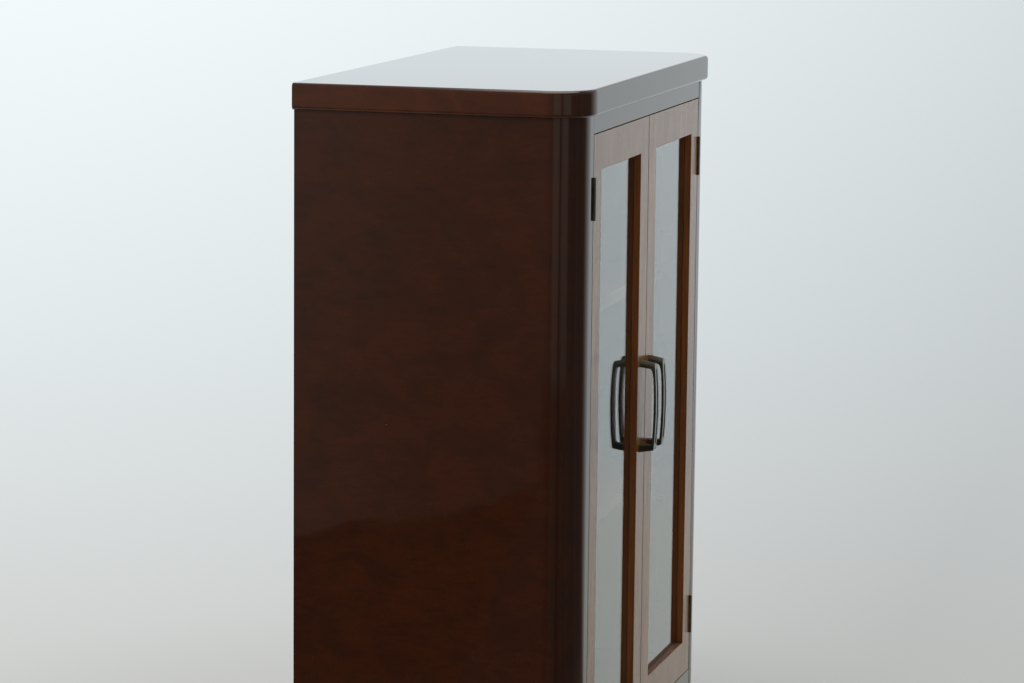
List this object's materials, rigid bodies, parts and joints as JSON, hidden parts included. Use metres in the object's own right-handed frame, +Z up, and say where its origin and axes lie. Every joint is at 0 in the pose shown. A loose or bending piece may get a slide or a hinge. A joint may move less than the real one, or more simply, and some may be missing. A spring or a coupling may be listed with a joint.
{
  "type": "side cabinet",
  "caption": "Free-standing side cabinet with rounded front corners, an overhanging top board, inset glazed doors on butt hinges, bow handles, loose shelves and a recessed plinth.",
  "frame": {"origin": "on the floor, under the centre of the bounding box of the cabinet with its handles", "axes": "+X to the right seen from the front, +Y to the back, +Z up"},
  "size_m": [0.712, 0.386, 0.95],
  "materials": {
    "lacquer": "dark red-brown mahogany under high-gloss clear lacquer",
    "door_wood": "red-brown open-grained wood, satin",
    "inner_wood": "plain warm brown wood, thin satin varnish",
    "plywood": "bare plywood, matte",
    "glass": "clear float glass",
    "bronze": "dark antique bronze patina, satin, rubbed at the edges",
    "steel": "zinc-plated steel, satin",
    "brass": "dull yellow brass",
    "plastic": "brown moulded plastic, matte"
  },
  "bodies": {
    "case": {"top_board": "lacquer", "left_side": "lacquer", "right_side": "lacquer", "left_post": "lacquer", "right_post": "lacquer", "top_rail": "lacquer", "bottom_rail": "lacquer", "plinth_front": "lacquer", "plinth_left": "lacquer", "plinth_right": "lacquer", "plinth_back": "lacquer", "left_plinth_corner": "lacquer", "right_plinth_corner": "lacquer", "top_stop": "inner_wood", "rear_rail": "inner_wood", "left_cleat": "inner_wood", "right_cleat": "inner_wood", "floor_panel": "inner_wood", "lower_shelf": "inner_wood", "upper_shelf": "inner_wood", "plinth_blocks": "inner_wood", "back_panel": "plywood", "cleat_screws": "steel", "back_nails": "steel", "catch_magnets": "steel", "catch_screws": "steel", "shelf_pegs": "brass", "left_post_leaves": "bronze", "right_post_leaves": "bronze", "post_leaf_screws": "bronze", "left_hinge_pins": "bronze", "right_hinge_pins": "bronze", "catch_case": "plastic"},
    "left_door": {"left_door_outer_stile": "door_wood", "left_door_meeting_stile": "door_wood", "left_door_top_rail": "door_wood", "left_door_bottom_rail": "door_wood", "left_door_glass": "glass", "left_door_beads": "door_wood", "left_door_handle": "bronze", "left_door_handle_screws": "bronze", "left_door_leaves": "bronze", "left_door_leaf_screws": "bronze", "left_door_strike": "steel", "left_door_strike_screw": "steel"},
    "right_door": {"right_door_outer_stile": "door_wood", "right_door_meeting_stile": "door_wood", "right_door_top_rail": "door_wood", "right_door_bottom_rail": "door_wood", "right_door_glass": "glass", "right_door_beads": "door_wood", "right_door_handle": "bronze", "right_door_handle_screws": "bronze", "right_door_leaves": "bronze", "right_door_leaf_screws": "bronze", "right_door_strike": "steel", "right_door_strike_screw": "steel"}
  },
  "joints": [
    {"name": "left_door_hinge", "type": "hinge", "parent": "case", "child": "left_door", "pos_m": [-0.2869, -0.172, 0.4935], "axis": [0, 0, -1], "range_deg": [0, 170]},
    {"name": "right_door_hinge", "type": "hinge", "parent": "case", "child": "right_door", "pos_m": [0.2869, -0.172, 0.4935], "axis": [0, 0, 1], "range_deg": [0, 170]}
  ]
}
